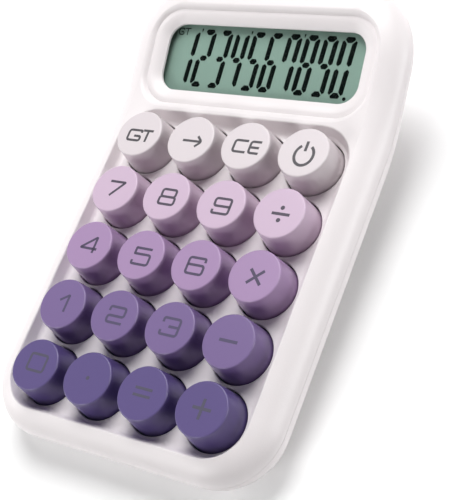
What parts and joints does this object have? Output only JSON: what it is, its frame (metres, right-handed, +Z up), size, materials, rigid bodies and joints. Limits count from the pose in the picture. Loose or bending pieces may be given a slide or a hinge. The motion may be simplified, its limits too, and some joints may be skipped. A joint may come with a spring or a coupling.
{
  "type": "desktop_calculator",
  "caption": "Desktop calculator with a soft bent casing, a sunken keypad of round sprung keys, a tilted liquid crystal display, a sliding battery door and rubber feet.",
  "frame": {"origin": "On the desk, under the middle of the casing's outline, at the level of the four feet", "axes": "+X to the user's right, +Y from the keypad towards the display end, +Z up; the key face leans 5 degrees up towards +Y"},
  "size_m": [0.0996, 0.1546, 0.0395],
  "materials": {
    "casing_plastic": "satin moulded",
    "cap_white": "satin moulded",
    "cap_pale_lilac": "satin moulded",
    "cap_lilac": "satin moulded",
    "cap_purple": "satin moulded",
    "cap_deep_purple": "satin moulded",
    "plunger_plastic": "moulded",
    "board": "solder mask",
    "lens_clear": "clear",
    "lcd_glass": "smooth",
    "holder_plastic": "moulded",
    "flat_cable": "film",
    "cell_sleeve": "plain sleeve",
    "nickel_strip": "nickel plated",
    "screw_zinc": "zinc plated",
    "foot_rubber": "moulded"
  },
  "bodies": {
    "case": {"top_case": "casing_plastic", "bottom_case": "casing_plastic", "main_board": "board", "display_lens": "lens_clear", "display_glass": "lcd_glass", "display_holder": "holder_plastic", "display_cable": "flat_cable", "battery": "cell_sleeve", "contact_plate": "nickel_strip", "contact_spring": "nickel_strip", "case_screw_1": "screw_zinc", "case_screw_2": "screw_zinc", "case_screw_3": "screw_zinc", "case_screw_4": "screw_zinc", "foot_front_left": "foot_rubber", "foot_front_right": "foot_rubber", "foot_rear_left": "foot_rubber", "foot_rear_right": "foot_rubber"},
    "door": {"battery_door": "casing_plastic"},
    "key_gt": {"keycap_01": "cap_white", "plunger_01": "plunger_plastic"},
    "key_arrow": {"keycap_02": "cap_white", "plunger_02": "plunger_plastic"},
    "key_ce": {"keycap_03": "cap_white", "plunger_03": "plunger_plastic"},
    "key_power": {"keycap_04": "cap_white", "plunger_04": "plunger_plastic"},
    "key_7": {"keycap_05": "cap_pale_lilac", "plunger_05": "plunger_plastic"},
    "key_8": {"keycap_06": "cap_pale_lilac", "plunger_06": "plunger_plastic"},
    "key_9": {"keycap_07": "cap_pale_lilac", "plunger_07": "plunger_plastic"},
    "key_divide": {"keycap_08": "cap_pale_lilac", "plunger_08": "plunger_plastic"},
    "key_4": {"keycap_09": "cap_lilac", "plunger_09": "plunger_plastic"},
    "key_5": {"keycap_10": "cap_lilac", "plunger_10": "plunger_plastic"},
    "key_6": {"keycap_11": "cap_lilac", "plunger_11": "plunger_plastic"},
    "key_multiply": {"keycap_12": "cap_lilac", "plunger_12": "plunger_plastic"},
    "key_1": {"keycap_13": "cap_purple", "plunger_13": "plunger_plastic"},
    "key_2": {"keycap_14": "cap_purple", "plunger_14": "plunger_plastic"},
    "key_3": {"keycap_15": "cap_purple", "plunger_15": "plunger_plastic"},
    "key_minus": {"keycap_16": "cap_purple", "plunger_16": "plunger_plastic"},
    "key_0": {"keycap_17": "cap_deep_purple", "plunger_17": "plunger_plastic"},
    "key_point": {"keycap_18": "cap_deep_purple", "plunger_18": "plunger_plastic"},
    "key_equals": {"keycap_19": "cap_deep_purple", "plunger_19": "plunger_plastic"},
    "key_plus": {"keycap_20": "cap_deep_purple", "plunger_20": "plunger_plastic"}
  },
  "joints": [
    {"name": "press_gt", "type": "slide", "parent": "case", "child": "key_gt", "axis": [0, 0.0872, -0.9962], "range_m": [0, 0.0035], "stiffness_N_per_m": 120, "springref_m": -0.003},
    {"name": "press_arrow", "type": "slide", "parent": "case", "child": "key_arrow", "axis": [0, 0.0872, -0.9962], "range_m": [0, 0.0035], "stiffness_N_per_m": 120, "springref_m": -0.003},
    {"name": "press_ce", "type": "slide", "parent": "case", "child": "key_ce", "axis": [0, 0.0872, -0.9962], "range_m": [0, 0.0035], "stiffness_N_per_m": 120, "springref_m": -0.003},
    {"name": "press_power", "type": "slide", "parent": "case", "child": "key_power", "axis": [0, 0.0872, -0.9962], "range_m": [0, 0.0035], "stiffness_N_per_m": 120, "springref_m": -0.003},
    {"name": "press_7", "type": "slide", "parent": "case", "child": "key_7", "axis": [0, 0.0872, -0.9962], "range_m": [0, 0.0035], "stiffness_N_per_m": 120, "springref_m": -0.003},
    {"name": "press_8", "type": "slide", "parent": "case", "child": "key_8", "axis": [0, 0.0872, -0.9962], "range_m": [0, 0.0035], "stiffness_N_per_m": 120, "springref_m": -0.003},
    {"name": "press_9", "type": "slide", "parent": "case", "child": "key_9", "axis": [0, 0.0872, -0.9962], "range_m": [0, 0.0035], "stiffness_N_per_m": 120, "springref_m": -0.003},
    {"name": "press_divide", "type": "slide", "parent": "case", "child": "key_divide", "axis": [0, 0.0872, -0.9962], "range_m": [0, 0.0035], "stiffness_N_per_m": 120, "springref_m": -0.003},
    {"name": "press_4", "type": "slide", "parent": "case", "child": "key_4", "axis": [0, 0.0872, -0.9962], "range_m": [0, 0.0035], "stiffness_N_per_m": 120, "springref_m": -0.003},
    {"name": "press_5", "type": "slide", "parent": "case", "child": "key_5", "axis": [0, 0.0872, -0.9962], "range_m": [0, 0.0035], "stiffness_N_per_m": 120, "springref_m": -0.003},
    {"name": "press_6", "type": "slide", "parent": "case", "child": "key_6", "axis": [0, 0.0872, -0.9962], "range_m": [0, 0.0035], "stiffness_N_per_m": 120, "springref_m": -0.003},
    {"name": "press_multiply", "type": "slide", "parent": "case", "child": "key_multiply", "axis": [0, 0.0872, -0.9962], "range_m": [0, 0.0035], "stiffness_N_per_m": 120, "springref_m": -0.003},
    {"name": "press_1", "type": "slide", "parent": "case", "child": "key_1", "axis": [0, 0.0872, -0.9962], "range_m": [0, 0.0035], "stiffness_N_per_m": 120, "springref_m": -0.003},
    {"name": "press_2", "type": "slide", "parent": "case", "child": "key_2", "axis": [0, 0.0872, -0.9962], "range_m": [0, 0.0035], "stiffness_N_per_m": 120, "springref_m": -0.003},
    {"name": "press_3", "type": "slide", "parent": "case", "child": "key_3", "axis": [0, 0.0872, -0.9962], "range_m": [0, 0.0035], "stiffness_N_per_m": 120, "springref_m": -0.003},
    {"name": "press_minus", "type": "slide", "parent": "case", "child": "key_minus", "axis": [0, 0.0872, -0.9962], "range_m": [0, 0.0035], "stiffness_N_per_m": 120, "springref_m": -0.003},
    {"name": "press_0", "type": "slide", "parent": "case", "child": "key_0", "axis": [0, 0.0872, -0.9962], "range_m": [0, 0.0035], "stiffness_N_per_m": 120, "springref_m": -0.003},
    {"name": "press_point", "type": "slide", "parent": "case", "child": "key_point", "axis": [0, 0.0872, -0.9962], "range_m": [0, 0.0035], "stiffness_N_per_m": 120, "springref_m": -0.003},
    {"name": "press_equals", "type": "slide", "parent": "case", "child": "key_equals", "axis": [0, 0.0872, -0.9962], "range_m": [0, 0.0035], "stiffness_N_per_m": 120, "springref_m": -0.003},
    {"name": "press_plus", "type": "slide", "parent": "case", "child": "key_plus", "axis": [0, 0.0872, -0.9962], "range_m": [0, 0.0035], "stiffness_N_per_m": 120, "springref_m": -0.003},
    {"name": "door_slide", "type": "slide", "parent": "case", "child": "door", "axis": [0, 1, 0], "range_m": [0, 0.012]}
  ]
}
